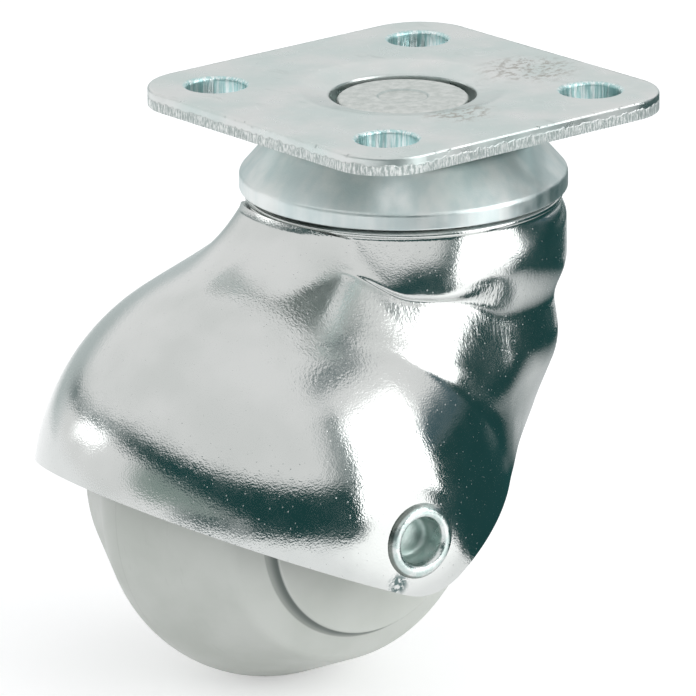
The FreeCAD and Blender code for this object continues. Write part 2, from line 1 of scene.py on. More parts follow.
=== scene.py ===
"""Studio view of the hooded furniture caster: its finishes, pressed and rolled pieces, light and camera."""
import math

import bpy
import bmesh
import numpy as np
from mathutils import Matrix, Vector


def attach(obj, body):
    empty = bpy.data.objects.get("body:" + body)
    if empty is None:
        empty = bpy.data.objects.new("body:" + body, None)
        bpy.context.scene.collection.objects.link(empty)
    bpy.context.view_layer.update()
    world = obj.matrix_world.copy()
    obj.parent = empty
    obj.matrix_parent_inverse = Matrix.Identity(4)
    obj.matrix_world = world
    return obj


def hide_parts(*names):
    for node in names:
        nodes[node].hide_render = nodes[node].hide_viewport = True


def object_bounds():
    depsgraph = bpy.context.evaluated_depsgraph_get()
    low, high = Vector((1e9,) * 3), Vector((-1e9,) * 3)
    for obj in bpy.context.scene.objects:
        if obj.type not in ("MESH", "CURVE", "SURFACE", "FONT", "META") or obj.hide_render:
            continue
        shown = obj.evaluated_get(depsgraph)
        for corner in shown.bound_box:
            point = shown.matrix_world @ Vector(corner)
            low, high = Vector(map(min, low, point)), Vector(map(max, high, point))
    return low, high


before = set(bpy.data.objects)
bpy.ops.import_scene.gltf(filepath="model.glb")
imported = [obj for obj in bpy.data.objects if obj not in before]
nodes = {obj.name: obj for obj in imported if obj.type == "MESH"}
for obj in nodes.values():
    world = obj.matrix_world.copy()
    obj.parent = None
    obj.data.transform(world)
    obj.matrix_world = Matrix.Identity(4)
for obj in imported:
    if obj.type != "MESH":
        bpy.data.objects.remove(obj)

MM = 0.001
cad_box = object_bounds()
scene = bpy.context.scene

# The swivel's rest turn, and the axle's middle before that turn in millimetres
REST_TURN = math.radians(-4.5)
AXLE = (-16.15, 0.0, -40.42)

# The camera stands where the photograph was taken from
CAMERA_AZIMUTH = math.radians(-39.708)
CAMERA_ELEVATION = math.radians(17.368)
CAMERA_ROLL = math.radians(-0.619)
CAMERA_DISTANCE = 800 * MM
CAMERA_LENS = 392.9
CAMERA_SENSOR = 36
CAMERA_NEAREST = 0.01
LOOK_RIGHT = -5.766 * MM
LOOK_UP = -27.497 * MM


def heading(azimuth, elevation):
    """The direction towards a place at that azimuth and elevation."""
    level = math.cos(elevation)
    return Vector((math.sin(azimuth) * level, -math.cos(azimuth) * level, math.sin(elevation)))


def make_camera():
    """A camera turned from its azimuth, elevation and roll."""
    back = heading(CAMERA_AZIMUTH, CAMERA_ELEVATION)
    level_right = Vector((math.cos(CAMERA_AZIMUTH), math.sin(CAMERA_AZIMUTH), 0))
    level_up = back.cross(level_right)
    right = level_right * math.cos(CAMERA_ROLL) + level_up * math.sin(CAMERA_ROLL)
    up = level_up * math.cos(CAMERA_ROLL) - level_right * math.sin(CAMERA_ROLL)
    lens = bpy.data.cameras.new("photo_camera")
    lens.lens = CAMERA_LENS
    lens.sensor_width = CAMERA_SENSOR
    lens.sensor_fit = "HORIZONTAL"
    lens.clip_start = CAMERA_NEAREST
    camera = bpy.data.objects.new("photo_camera", lens)
    scene.collection.objects.link(camera)
    turned = Matrix((right, up, back)).transposed().to_4x4()
    spot = right * LOOK_RIGHT + up * LOOK_UP + back * CAMERA_DISTANCE
    camera.matrix_world = Matrix.Translation(spot) @ turned
    scene.camera = camera


def feed(tree, made, inputs):
    """Gives a node's inputs their numbers, their colours or other nodes' outputs."""
    for socket, value in inputs.items():
        if isinstance(value, bpy.types.NodeSocket):
            tree.links.new(value, made.inputs[socket])
        else:
            made.inputs[socket].default_value = value


def add_node(tree, kind, inputs=None, **settings):
    """A shader node with its settings and its inputs."""
    made = tree.nodes.new("ShaderNode" + kind)
    for name, value in settings.items():
        setattr(made, name, value)
    feed(tree, made, inputs or {})
    return made


def math_node(tree, operation, first, second=0.5, third=0.5):
    made = add_node(tree, "Math", {0: first, 1: second, 2: third}, operation=operation)
    return made.outputs[0]


def times(tree, first, *others):
    for other in others:
        first = math_node(tree, "MULTIPLY", first, other)
    return first


def plus(tree, first, *others):
    for other in others:
        first = math_node(tree, "ADD", first, other)
    return first


def blend_colour(tree, share, first, second):
    made = add_node(tree, "Mix", {"Factor": share, 6: first, 7: second}, data_type="RGBA")
    return made.outputs[2]


def lay_tints(tree, colour, layers):
    """A colour under tints, each given with its mask and its share where the mask is full."""
    for mask, share, tint in layers:
        colour = blend_colour(tree, times(tree, mask, share), colour, tint)
    return colour


def remap(tree, value, low, high, new_low=0.0, new_high=1.0):
    """A value taken from one range to another with soft ends."""
    ranges = {"Value": value, "From Min": low, "From Max": high, "To Min": new_low, "To Max": new_high}
    return add_node(tree, "MapRange", ranges, interpolation_type="SMOOTHSTEP").outputs[0]


def fade_out(tree, value, low, high):
    """One below a range and none above it."""
    return remap(tree, value, low, high, 1.0, 0.0)


def between(tree, value, low, high, soft):
    """One inside a range, none outside it, with soft ends."""
    rising = remap(tree, value, low - soft, low + soft)
    falling = fade_out(tree, value, high - soft, high + soft)
    return math_node(tree, "MULTIPLY", rising, falling)


def length_of(tree, first, second):
    """Length of a vector that is given by two of its parts."""
    squares = plus(tree, times(tree, first, first), times(tree, second, second))
    return math_node(tree, "SQRT", squares)


def distance_to(tree, first, second, middle):
    """Distance of a spot from a middle, both given by two of their parts."""
    first_off = math_node(tree, "SUBTRACT", first, middle[0])
    second_off = math_node(tree, "SUBTRACT", second, middle[1])
    return length_of(tree, first_off, second_off)


def beyond(tree, value, limit):
    """How far a value lies over a limit, or nothing."""
    return math_node(tree, "MAXIMUM", math_node(tree, "SUBTRACT", value, limit), 0.0)


def place_in_mm(tree):
    """Object coordinates in millimetres."""
    place = add_node(tree, "TexCoord").outputs["Object"]
    return add_node(tree, "VectorMath", {0: place, "Scale": 1 / MM}, operation="SCALE").outputs[0]


def turn_place(tree, place, angle):
    """The place turned about the upright axis."""
    made = add_node(tree, "VectorRotate", {"Vector": place, "Angle": angle}, rotation_type="Z_AXIS")
    return made.outputs[0]


def axes(tree, place):
    made = add_node(tree, "SeparateXYZ", {0: place})
    return made.outputs[0], made.outputs[1], made.outputs[2]


def noise(tree, place, scale, detail=2.0, roughness=0.5):
    inputs = {"Vector": place, "Scale": scale, "Detail": detail, "Roughness": roughness}
    return add_node(tree, "TexNoise", inputs).outputs["Fac"]


def streaks(tree, place, along, scale=1.0, detail=2.0, roughness=0.5):
    """A noise drawn out along the axes."""
    drawn = add_node(tree, "VectorMath", {0: place, 1: along}, operation="MULTIPLY").outputs[0]
    return noise(tree, drawn, scale, detail, roughness)


def patches(tree, place, scale, low, high, detail=2.0, roughness=0.5):
    """One where a noise is high and none where it is low, parted softly between two of its values."""
    return remap(tree, noise(tree, place, scale, detail, roughness), low, high)


def uneven(tree, place, scale, detail, least, most):
    """A value that wanders over the surface between two others."""
    return remap(tree, noise(tree, place, scale, detail), 0.3, 0.7, least, most)


def new_material(name):
    made = bpy.data.materials.new(name)
    made.use_nodes = True
    made.node_tree.nodes.clear()
    return made, made.node_tree


def finish_material(tree, shader):
    add_node(tree, "OutputMaterial", {"Surface": shader})


def finish_metal(tree, colour, roughness, height):
    """Metal from a colour, a roughness and a height in millimetres."""
    bump = add_node(tree, "Bump", {"Strength": 1.0, "Distance": MM, "Height": height})
    shader = add_node(tree, "BsdfPrincipled", {"Base Color": colour, "Metallic": 1.0, "Roughness": roughness,
                                               "Normal": bump.outputs[0]})
    finish_material(tree, shader.outputs[0])


def make_group(name, inputs, outputs):
    """An empty shader node group; its Place is a vector and every other socket a number."""
    group = bpy.data.node_groups.new(name, "ShaderNodeTree")
    for socket in inputs:
        kind = "NodeSocketVector" if socket == "Place" else "NodeSocketFloat"
        group.interface.new_socket(socket, in_out="INPUT", socket_type=kind)
    for socket in outputs:
        group.interface.new_socket(socket, in_out="OUTPUT", socket_type="NodeSocketFloat")
    return group, group.nodes.new("NodeGroupInput").outputs, group.nodes.new("NodeGroupOutput")


def use_group(tree, group, **inputs):
    made = tree.nodes.new("ShaderNodeGroup")
    made.node_tree = group
    feed(tree, made, inputs)
    return made.outputs


# Grains, waves and speck cells per millimetre, a speck's soft edge, and which cells have one
PEEL_SCALE = 5.2
WAVE_SCALE = 0.9
SPECK_SCALE = 2.0
SPECK_EDGE = (0.06, 0.2)
SPECK_CHOICE = (0.4, 0.7)


def make_peel_group():
    """Orange peel of electroplated steel with sparse pinprick specks; place and heights in millimetres."""
    group, given, result = make_group("plating_peel", ["Place", "Grain", "Wave", "Specks"],
                                      ["Height", "Dots"])
    fine = noise(group, given["Place"], PEEL_SCALE, detail=1.0)
    wave = noise(group, given["Place"], WAVE_SCALE, detail=1.0)
    cells = add_node(group, "TexVoronoi", {"Vector": given["Place"], "Scale": SPECK_SCALE})
    chosen = add_node(group, "SeparateColor", {"Color": cells.outputs["Color"]})
    dot = fade_out(group, cells.outputs["Distance"], *SPECK_EDGE)
    dot = times(group, dot, remap(group, chosen.outputs[0], *SPECK_CHOICE))
    height = times(group, fine, given["Grain"])
    height = math_node(group, "MULTIPLY_ADD", wave, given["Wave"], height)
    height = math_node(group, "MULTIPLY_ADD", dot, given["Specks"], height)
    group.links.new(height, result.inputs["Height"])
    group.links.new(dot, result.inputs["Dots"])
    return group


# Turns and noise scales of the two ways that scratches run, how thin they are, and how large their patches
SCRATCH_WAYS = [(0.5, 3.1), (2.0, 2.3)]
SCRATCH_HALF = 0.012
SCRATCH_PATCH = 0.16


def make_scratch_group():
    """Fine straight scratches in two directions; one where a scratch runs."""
    group, given, result = make_group("fine_scratches", ["Place", "Length", "Amount"], ["Mask"])
    masks = []
    for turn, scale in SCRATCH_WAYS:
        across, along, upward = axes(group, turn_place(group, given["Place"], turn))
        shortened = math_node(group, "DIVIDE", along, given["Length"])
        drawn = add_node(group, "CombineXYZ", {0: across, 1: shortened, 2: upward})
        off_middle = math_node(group, "SUBTRACT", noise(group, drawn.outputs[0], scale, detail=1.0), 0.5)
        line = fade_out(group, math_node(group, "ABSOLUTE", off_middle), 0.0, SCRATCH_HALF)
        patch = patches(group, given["Place"], SCRATCH_PATCH * scale, low=0.5, high=0.66)
        masks.append(times(group, line, patch))
    both = math_node(group, "MAXIMUM", *masks)
    group.links.new(times(group, both, given["Amount"]), result.inputs["Mask"])
    return group


plating_peel = make_peel_group()
fine_scratches = make_scratch_group()

# Hood: heights in millimetres between which it has drawing streaks, and between which its metal is duller
STREAK_HEIGHTS = (-24.5, -16.5)
DULL_HEIGHTS = (-29.0, -12.0)
# Depth of the streaks in millimetres, and how much rougher the duller metal and the specks are
STREAK_DEPTH = 0.022
DULL_ROUGHNESS = 0.055
SPECK_ROUGHNESS = 0.30
# Painted shade below the near rivet end, beside its flange: distance back from the swivel axis and height,
# its reach and its side
FLANGE_SHADE_SPOT = (-18.9, -44.6)
FLANGE_SHADE_REACH = (0.6, 1.6)
FLANGE_SHADE_SIDE = (-21.0, -20.0)
HOOD_GREY = (0.575, 0.595, 0.582, 1)
HOOD_PALE = (0.64, 0.655, 0.645, 1)
FLANGE_SHADE_DARK = (0.05, 0.10, 0.10, 1)


def make_hood_plating():
    """Bright zinc over drawn sheet: orange peel, specks, faint clouds, drawing streaks and painted shade
    below the near rivet end.
    """
    made, tree = new_material("hood_plating")
    place = place_in_mm(tree)
    back, side, upward = axes(tree, turn_place(tree, place, -REST_TURN))
    peel = use_group(tree, plating_peel, Place=place, Grain=0.0105, Wave=0.010, Specks=0.007)
    drawn = between(tree, upward, *STREAK_HEIGHTS, soft=1.6)
    drawn = times(tree, drawn, streaks(tree, place, (3.2, 3.2, 0.22)))
    height = plus(tree, peel["Height"], times(tree, drawn, STREAK_DEPTH))
    flange_shade = fade_out(tree, distance_to(tree, back, upward, FLANGE_SHADE_SPOT), *FLANGE_SHADE_REACH)
    ragged = patches(tree, place, scale=1.8, low=0.40, high=0.50, detail=4.0, roughness=0.7)
    flange_shade = times(tree, flange_shade, fade_out(tree, side, *FLANGE_SHADE_SIDE), ragged)
    clouds = patches(tree, place, scale=0.09, low=0.35, high=0.66, detail=3.0)
    colour = blend_colour(tree, clouds, HOOD_GREY, HOOD_PALE)
    # Painted shade on the hood beside the near rivet flange, ragged at its edge
    colour = lay_tints(tree, colour, [(flange_shade, 0.9, FLANGE_SHADE_DARK)])
    dull = between(tree, upward, *DULL_HEIGHTS, soft=3.0)
    roughness = uneven(tree, place, scale=0.4, detail=3.0, least=0.09, most=0.145)
    roughness = plus(tree, roughness, times(tree, dull, DULL_ROUGHNESS),
                     times(tree, peel["Dots"], SPECK_ROUGHNESS))
    finish_metal(tree, colour, roughness, height)
    return made


# Plate, in millimetres: middles of its corners and holes, and bands where edge, nicks, walls and frays set in
CORNER_MIDDLE = 14.6
HOLE_MIDDLE = 14.0
EDGE_BAND = (6.12, 6.3)
NICK_BAND = (5.9, 6.2)
HOLE_BAND = (3.28, 3.7)
REAR_BAND = (20.4, 20.75)
# Heights over which the torn part of the edge ends, nicks and frays begin, and how far the torn part wanders
TORN_HEIGHTS = (-0.62, -0.42)
NICK_HEIGHTS = (-0.55, -0.15)
FRAY_HEIGHTS = (-0.7, -0.3)
TORN_WANDER = 0.9
# Depths in millimetres of torn ribs, wall ribs, scratches and nicks, and how much rougher torn and scuffed is
TORN_DEPTH = 0.20
WALL_DEPTH = 0.14
SCRATCH_DEPTH = -0.004
NICK_DEPTH = -0.09
TORN_ROUGHNESS = 0.25
SCUFF_ROUGHNESS = 0.10
# Rubbed patches: middle and reach, and the part of the reach that is fully rubbed
RUB_MARKS = [(14.6, -3.5, 6.5), (-2.0, -11.2, 5.0)]
RUB_FULL = 0.4
PLATE_COOL = (0.57, 0.64, 0.625, 1)
PLATE_PALE = (0.675, 0.69, 0.68, 1)
SCRATCH_BRIGHT = (0.82, 0.84, 0.83, 1)
SCUFF_GREY = (0.46, 0.50, 0.49, 1)
TORN_GREY = (0.42, 0.48, 0.47, 1)
TORN_BRIGHT = (0.97, 0.98, 0.97, 1)
RUB_BROWN = (0.31, 0.29, 0.255, 1)
NICK_DARK = (0.30, 0.36, 0.35, 1)
FRAY_DARK = (0.22, 0.27, 0.25, 1)
WALL_DEEP = (0.40, 0.65, 0.65, 1)
WALL_PALE = (0.88, 0.96, 0.96, 1)


def make_plate_steel():
    """Zinc-plated plate: cloudy scuffed faces, sheared edges torn in their lower part, tinted hole walls."""
    made, tree = new_material("plate_steel")
    place = place_in_mm(tree)
    across, along, upward = axes(tree, place)
    wide = math_node(tree, "ABSOLUTE", across)
    deep = math_node(tree, "ABSOLUTE", along)
    outward = length_of(tree, beyond(tree, wide, CORNER_MIDDLE), beyond(tree, deep, CORNER_MIDDLE))
    rearward = math_node(tree, "MAXIMUM", across, along)
    edge = remap(tree, outward, *EDGE_BAND)
    hole = fade_out(tree, distance_to(tree, wide, deep, (HOLE_MIDDLE, HOLE_MIDDLE)), *HOLE_BAND)

    wander = streaks(tree, place, (1, 1, 0), scale=1.3, detail=3.0)
    torn_line = plus(tree, upward, times(tree, wander, TORN_WANDER))
    torn = times(tree, edge, fade_out(tree, torn_line, *TORN_HEIGHTS))
    ribs = streaks(tree, place, (5.0, 5.0, 1.1), detail=3.0, roughness=0.7)
    wall_ribs = streaks(tree, place, (2.6, 2.6, 0.15), detail=3.0, roughness=0.7)
    nicks = remap(tree, streaks(tree, place, (1.6, 1.6, 0.8), detail=4.0, roughness=0.75), 0.62, 0.70)
    nicks = times(tree, nicks, remap(tree, upward, *NICK_HEIGHTS), remap(tree, outward, *NICK_BAND))
    frays = patches(tree, place, scale=1.1, low=0.46, high=0.56, detail=4.0, roughness=0.7)
    frays = times(tree, frays, remap(tree, rearward, *REAR_BAND), remap(tree, upward, *FRAY_HEIGHTS))
    scuff = streaks(tree, place, (0.5, 0.16, 0.5), scale=0.8, detail=5.0, roughness=0.65)
    scuffed_part = patches(tree, place, scale=0.09, low=0.45, high=0.6, detail=1.0)
    scuff = times(tree, remap(tree, scuff, 0.56, 0.68), scuffed_part)
    rub = streaks(tree, place, (0.9, 1.3, 1), scale=0.9, detail=6.0, roughness=0.75)
    marks = [fade_out(tree, distance_to(tree, across, along, (x, y)), RUB_FULL * reach, reach)
             for x, y, reach in RUB_MARKS]
    rub = times(tree, remap(tree, rub, 0.50, 0.56), math_node(tree, "MAXIMUM", *marks))
    peel = use_group(tree, plating_peel, Place=place, Grain=0.004, Wave=0.006, Specks=0.004)
    scratch = use_group(tree, fine_scratches, Place=place, Length=26.0, Amount=1.0)["Mask"]

    clouds = patches(tree, place, scale=0.12, low=0.33, high=0.68, detail=4.0)
    colour = blend_colour(tree, clouds, PLATE_COOL, PLATE_PALE)
    torn_colour = blend_colour(tree, remap(tree, ribs, 0.40, 0.62), TORN_GREY, TORN_BRIGHT)
    wall_colour = blend_colour(tree, remap(tree, wall_ribs, 0.44, 0.60), WALL_DEEP, WALL_PALE)
    colour = lay_tints(tree, colour, [(scratch, 0.5, SCRATCH_BRIGHT), (scuff, 0.35, SCUFF_GREY),
                                      (torn, 0.8, torn_colour), (rub, 0.78, RUB_BROWN),
                                      (nicks, 0.7, NICK_DARK), (frays, 0.75, FRAY_DARK),
                                      (hole, 0.85, wall_colour)])
    roughness = uneven(tree, place, scale=0.3, detail=4.0, least=0.26, most=0.40)
    roughness = plus(tree, roughness, times(tree, torn, TORN_ROUGHNESS), times(tree, scuff, SCUFF_ROUGHNESS))
    height = plus(tree, peel["Height"], times(tree, ribs, torn, TORN_DEPTH),
                  times(tree, wall_ribs, hole, WALL_DEPTH), times(tree, scratch, SCRATCH_DEPTH),
                  times(tree, nicks, NICK_DEPTH))
    finish_metal(tree, colour, roughness, height)
    return made


DISH_COOL = (0.61, 0.69, 0.69, 1)
DISH_PALE = (0.76, 0.79, 0.78, 1)


def make_dish_steel():
    """Satin zinc with a cool cast and soft stains that run down the wall."""
    made, tree = new_material("dish_steel")
    place = place_in_mm(tree)
    peel = use_group(tree, plating_peel, Place=place, Grain=0.009, Wave=0.008, Specks=0.004)
    runs = remap(tree, streaks(tree, place, (0.35, 0.35, 0.05), detail=3.0), 0.35, 0.68)
    colour = blend_colour(tree, runs, DISH_COOL, DISH_PALE)
    roughness = uneven(tree, place, scale=0.5, detail=3.0, least=0.34, most=0.46)
    finish_metal(tree, colour, roughness, peel["Height"])
    return made


# Kingpin's head, in millimetres: ring and rim from the swivel axis, heights where painted shade sets in on
# the rim's lower part, dents
PIN_RING = (2.55, 2.8)
PIN_RIM = (6.75, 9.0)
PIN_SHADE_HEIGHTS = (-2.2, -1.3)
DENT_DEPTH = 0.035
PIN_GREY = (0.51, 0.545, 0.525, 1)
PIN_PALE = (0.67, 0.69, 0.67, 1)
PIN_RING_DARK = (0.36, 0.44, 0.43, 1)
PIN_RIM_SHADE = (0.20, 0.34, 0.34, 1)


def make_pin_steel():
    """Cold-headed rivet steel: a mottled, hammered head under thin zinc, with painted shade on the lower part
    of its edge.
    """
    made, tree = new_material("pin_steel")
    place = place_in_mm(tree)
    across, along, upward = axes(tree, place)
    outward = length_of(tree, across, along)
    peel = use_group(tree, plating_peel, Place=place, Grain=0.008, Wave=0.02, Specks=0.01)
    dents = noise(tree, place, scale=1.4, detail=4.0, roughness=0.65)
    mottle = patches(tree, place, scale=0.9, low=0.30, high=0.72, detail=5.0, roughness=0.7)
    ring = between(tree, outward, *PIN_RING, soft=0.1)
    # Painted shade on the lower part of the head's edge, down in the plate's well
    rim_shade = between(tree, outward, *PIN_RIM, soft=0.2)
    rim_shade = times(tree, rim_shade, fade_out(tree, upward, *PIN_SHADE_HEIGHTS))
    colour = blend_colour(tree, mottle, PIN_GREY, PIN_PALE)
    colour = lay_tints(tree, colour, [(ring, 0.55, PIN_RING_DARK), (rim_shade, 0.8, PIN_RIM_SHADE)])
    roughness = remap(tree, mottle, 0.0, 1.0, new_low=0.44, new_high=0.30)
    finish_metal(tree, colour, roughness, plus(tree, peel["Height"], times(tree, dents, DENT_DEPTH)))
    return made


# Rivet end, in millimetres from the axle: where its hollow ends, and where painted shade on its outer edge
# begins and thins out
RIVET_HOLLOW = (2.36, 2.52)
RIVET_EDGE_SHADE = (3.62, 3.82)
RIVET_SHADE_HALF = 2.5
RIVET_SHADE_LEAST = 0.2
# Depth of the rolled ring's waves in millimetres, and how much rougher the hollow is
ROLLED_DEPTH = 0.03
HOLLOW_ROUGHNESS = 0.18
RIVET_COOL = (0.52, 0.61, 0.59, 1)
RIVET_PALE = (0.72, 0.745, 0.735, 1)
HOLLOW_DULL = (0.40, 0.50, 0.47, 1)
EDGE_SHADE_DARK = (0.13, 0.15, 0.135, 1)


def make_rivet_steel():
    """Axle rivet: bright rolled ring with painted shade round its outer edge, dull and darker in the hollow
    end.
    """
    made, tree = new_material("rivet_steel")
    place = place_in_mm(tree)
    back, _, upward = axes(tree, turn_place(tree, place, -REST_TURN))
    outward = distance_to(tree, back, upward, (AXLE[0], AXLE[2]))
    hollow = fade_out(tree, outward, *RIVET_HOLLOW)
    # Painted shade on the flange's outer edge, heaviest on the tail side
    tail_side = remap(tree, back, AXLE[0] - RIVET_SHADE_HALF, AXLE[0] + RIVET_SHADE_HALF, 1.0, RIVET_SHADE_LEAST)
    edge_shade = times(tree, remap(tree, outward, *RIVET_EDGE_SHADE), tail_side)
    peel = use_group(tree, plating_peel, Place=place, Grain=0.008, Wave=0.02, Specks=0.01)
    rolled = noise(tree, place, scale=1.6, detail=3.0, roughness=0.6)
    stains = patches(tree, place, scale=0.8, low=0.42, high=0.62, detail=4.0)
    colour = blend_colour(tree, stains, RIVET_COOL, RIVET_PALE)
    colour = lay_tints(tree, colour, [(hollow, 0.75, HOLLOW_DULL), (edge_shade, 0.9, EDGE_SHADE_DARK)])
    roughness = uneven(tree, place, scale=0.9, detail=3.0, least=0.20, most=0.32)
    roughness = plus(tree, roughness, times(tree, hollow, HOLLOW_ROUGHNESS))
    finish_metal(tree, colour, roughness, plus(tree, peel["Height"], times(tree, rolled, ROLLED_DEPTH)))
    return made


BALL_GREY = (0.50, 0.50, 0.49, 1)
BALL_GREASE = (0.64, 0.63, 0.58, 1)
FILM_DEPTH = 0.003


def make_ball_steel():
    """Greased bearing steel."""
    made, tree = new_material("ball_steel")
    film = patches(tree, place_in_mm(tree), scale=0.6, low=0.4, high=0.62, detail=3.0)
    colour = blend_colour(tree, film, BALL_GREY, BALL_GREASE)
    roughness = remap(tree, film, 0.0, 1.0, new_low=0.10, new_high=0.24)
    finish_metal(tree, colour, roughness, times(tree, film, FILM_DEPTH))
    return made


# Wheel, in millimetres: painted shade on the boss's step wall and where it grows lighter, from the axle, and
# the step from the middle
BOSS_STEP = (12.15, 12.95)
BOSS_STEP_LIGHTER = (12.3, 12.95)
BOSS_STEP_SIDE = (15.1, 16.5)
# Tread's start from the axle, half the parting line, depths of grain, parting line and rub marks, and sheen
TREAD_START = (16.5, 19.5)
SEAM_HALF = 0.06
GRAIN_DEPTH = 0.006
SEAM_DEPTH = 0.02
WHEEL_RUB_DEPTH = -0.006
WHEEL_SHEEN = 0.4
WHEEL_GREY = (0.61, 0.64, 0.595, 1)
WHEEL_PALE = (0.685, 0.71, 0.67, 1)
WHEEL_RUBBED = (0.40, 0.42, 0.39, 1)
STEP_PAINTED_SHADE = (0.10, 0.125, 0.115, 1)
SEAM_DARK = (0.36, 0.38, 0.35, 1)


def make_wheel_plastic():
    """Grey-green moulded plastic: faint clouds and rub marks, a parting line, painted shade on the wall round
    the boss.
    """
    made, tree = new_material("wheel_plastic")
    place = place_in_mm(tree)
    turned = turn_place(tree, place, -REST_TURN)
    back, side, upward = axes(tree, turned)
    outward = distance_to(tree, back, upward, (AXLE[0], AXLE[2]))
    # Painted shade on the boss's step wall, lighter towards its outer edge
    step_shade = times(tree, between(tree, outward, *BOSS_STEP, soft=0.09),
                 between(tree, math_node(tree, "ABSOLUTE", side), *BOSS_STEP_SIDE, soft=0.2),
                 remap(tree, outward, *BOSS_STEP_LIGHTER, new_low=1.0, new_high=0.45))
    seam = between(tree, side, -SEAM_HALF, SEAM_HALF, soft=0.05)
    grain = noise(tree, place, scale=3.4, detail=3.0, roughness=0.6)
    rub = remap(tree, streaks(tree, turned, (0.16, 1.2, 0.16), detail=5.0, roughness=0.7), 0.60, 0.72)
    rub = times(tree, rub, remap(tree, outward, *TREAD_START))
    clouds = patches(tree, place, scale=0.11, low=0.33, high=0.68, detail=4.0)
    colour = blend_colour(tree, clouds, WHEEL_GREY, WHEEL_PALE)
    colour = lay_tints(tree, colour, [(rub, 0.16, WHEEL_RUBBED), (step_shade, 0.95, STEP_PAINTED_SHADE),
                                      (seam, 0.22, SEAM_DARK)])
    roughness = uneven(tree, place, scale=0.35, detail=4.0, least=0.36, most=0.50)
    relief = plus(tree, times(tree, grain, GRAIN_DEPTH), times(tree, seam, SEAM_DEPTH),
                  times(tree, rub, WHEEL_RUB_DEPTH))
    bump = add_node(tree, "Bump", {"Strength": 1.0, "Distance": MM, "Height": relief})
    shader = add_node(tree, "BsdfPrincipled", {"Base Color": colour, "Roughness": roughness,
                                               "Specular IOR Level": WHEEL_SHEEN, "Normal": bump.outputs[0]})
    finish_material(tree, shader.outputs[0])
    return made


def dress(node, material):
    """Gives a CAD node its finish."""
    nodes[node].data.materials.clear()
    nodes[node].data.materials.append(material)


# Pressed hood, in millimetres before the swivel's rest turn
SHEET = 1.2
SHEET_EDGE = 0.25
SHARP_CORNER = math.radians(60)
DOME_CENTRE = np.array((-17.3, 0.0, -40.87))
DOME_RADIUS = 25.35
EAR_FACE = 24.9
EAR_EDGE = 0.6
AXLE_HOLE = 3.0
EAR_INSIDE = 15.0
SHOULDER_RADIUS = 16.71
SHOULDER_HEIGHT = -27.0
SHOULDER_FLARE = math.tan(math.radians(8.5))
SHOULDER_TAPER = math.tan(math.radians(22.1))
SHOULDER_WAIST = 15.6
SHOULDER_EDGE = 1.1
NECK_RADIUS = 17.26
NECK_NOTCH = 16.4
NECK_TOP = -11.85
NECK_FLARE = 2.2
CREASE_HEIGHT = -19.5
CREASE_TILT = math.radians(7.6)
CREASE_LIFT = 2.2
CREASE_GROOVE = 0.12
CREASE_GROOVE_HALF = 0.3
RIM_TAIL_TILT = math.radians(23.2)
RIM_TAIL_DROP = 5.85
RIM_FRONT_TILT = math.radians(30.0)
RIM_FRONT_DROP = 7.4
RIM_BEND = 3.6
# How far the rear flanks stand out from the round form: shoulder's slope, girth and waist, then the neck's
BELL_FLARE = 0.50
BELL_GIRTH = 3.0
BELL_WAIST = 2.5
NECK_BELL = 0.65
NECK_BELL_LENGTH = 4.0
NECK_CONE = 1.0
NECK_CONE_LENGTH = 3.6
# Degrees from the tail over which those forms, the crease's lift and its groove end, and the groove begins
FLARE_END = (44, 96)
GIRTH_END = (66, 112)
WAIST_END = (46, 96)
BELL_END = (58, 95)
BELL_LENGTH_END = (90, 120)
CONE_END = (44, 60)
LIFT_END = (33, 58)
GROOVE_END = (60, 78)
GROOVE_START = (30, 42)
# Reach of the neck's eased edge and of the hollows: at the tail, then changes and the degrees they take
NECK_EDGE = [0.8, (3.0, 62, 90)]
DOME_HOLLOW = [5.0, (-3.8, 30, 54), (4.2, 72, 100)]
NECK_HOLLOW = [6.2, (-5.7, 18, 38), (2.0, 72, 95)]
# Crown and collar: distance from the swivel axis and height
COLLAR_PROFILE = [(5.5, -9.85), (9.5, -9.85), (13.6, -9.85), (14.3, -9.93), (14.7, -10.1), (16.15, -10.93),
                  (16.4, -11.1), (16.68, -11.16), (16.83, -11.32), (16.86, -11.48), (16.83, -11.64),
                  (16.68, -11.79), (16.45, -11.86), (16.44, -12.0)]
# The spot that the skin is pressed out from, and the blank's columns and rows
HOOD_HEART = np.array((-8.0, 0.0, -18.4))
HOOD_COLUMNS = 360
NECK_ROWS = 26
CREASE_ROWS = 8
DOME_ROWS = 78
# The crease's rows lie between a line above it and one below it, which is drawn in from the neck's radius
CREASE_ABOVE = 0.45
CREASE_BELOW = 0.6
CREASE_INSET = 1.9
# Pressing starts outside and nears the skin by a part of its distance; the rim is found by halving a range
PRESS_START = 60.0
PRESS_STEPS = 80
PRESS_SHARE = 0.85
RIM_RANGE = (math.radians(-5), math.radians(-75))
RIM_HALVINGS = 26


def ease(value, low, high):
    """From nothing to one between two values, softly."""
    share = np.clip((value - low) / (high - low), 0, 1)
    return share * share * (3 - 2 * share)


def until(from_rear, end):
    """One at the tail, and none past the range of degrees where it ends."""
    return 1 - ease(from_rear, *end)


def round_the_axis(from_rear, at_tail, *changes):
    """A measure at the tail with its changes on the way to the front."""
    return at_tail + sum(change * ease(from_rear, low, high) for change, low, high in changes)


def soft_join(first, second, reach):
    """Distance to two forms grown together, with a hollow of that reach between them."""
    near = np.clip(reach - np.abs(first - second), 0, None) / reach
    return np.minimum(first, second) - near * near * reach / 4


def soft_share(first, second, reach):
    """Distance to what two forms share, its edge eased over that reach."""
    return -soft_join(-first, -second, reach)


def angle_from_rear(x, y):
    """Degrees round the swivel axis from the tail."""
    return np.degrees(np.arccos(np.clip(-x / np.maximum(np.hypot(x, y), 0.01), -1, 1)))


def crease_height(x, y):
    """Height of the neck's lower edge, which runs up and fades out towards the tail."""
    lift = CREASE_LIFT * until(angle_from_rear(x, y), LIFT_END)
    return CREASE_HEIGHT - x * math.tan(CREASE_TILT) + lift


